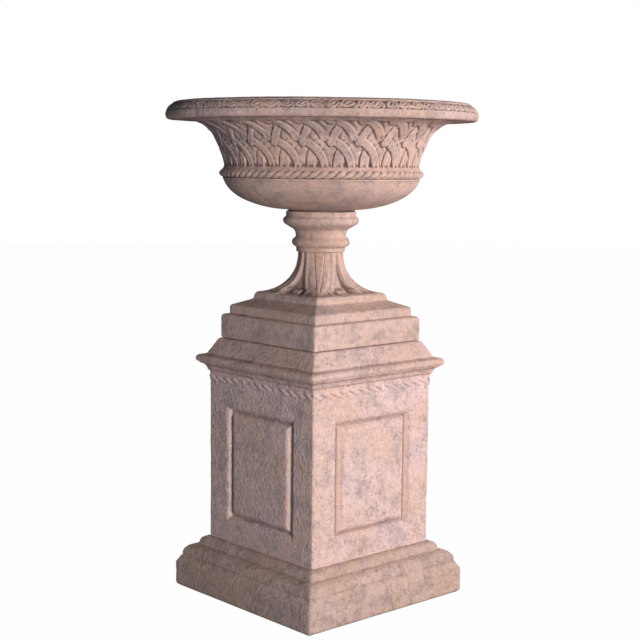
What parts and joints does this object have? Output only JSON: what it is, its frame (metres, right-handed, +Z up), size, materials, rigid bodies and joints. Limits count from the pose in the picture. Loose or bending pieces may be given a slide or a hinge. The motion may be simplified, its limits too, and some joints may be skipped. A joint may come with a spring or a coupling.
{
  "type": "garden urn on pedestal",
  "caption": "Wide cast-stone tazza urn with a woven frieze and rope mouldings, on a leafed stem and a square panelled pedestal; stands outdoors and holds plants.",
  "frame": {"origin": "centre of the pedestal's footprint, on the ground", "axes": "+Z up the stack; +X and +Y square to the pedestal's faces; the camera-side corner is at -X, -Y"},
  "size_m": [0.7639, 0.764, 1.22],
  "materials": {
    "cast_stone": "matte",
    "dowel_steel": "satin",
    "bedding": "matte",
    "brass_tube": "satin",
    "brass_nut": "satin",
    "seal_rubber": "matte",
    "zinc_steel": "satin"
  },
  "bodies": {
    "base": {"pedestal_base": "cast_stone", "base_dowels": "dowel_steel"},
    "die": {"pedestal_die": "cast_stone", "cap_dowels": "dowel_steel"},
    "cap": {"pedestal_cap": "cast_stone"},
    "urn": {"socle": "cast_stone", "bedding_ring": "bedding", "bowl": "cast_stone", "drain_tube": "brass_tube", "seal_washer": "seal_rubber", "top_washer": "zinc_steel", "top_nut": "brass_nut", "bearing_plate": "zinc_steel", "bottom_washer": "zinc_steel", "bottom_nut": "brass_nut"}
  },
  "joints": [
    {"name": "die_lift", "type": "slide", "parent": "base", "child": "die", "axis": [0, 0, 1], "range_m": [0, 0.06]},
    {"name": "cap_lift", "type": "slide", "parent": "die", "child": "cap", "axis": [0, 0, 1], "range_m": [0, 0.06]},
    {"name": "urn_lift", "type": "slide", "parent": "cap", "child": "urn", "axis": [0, 0, 1], "range_m": [0, 0.1]}
  ]
}
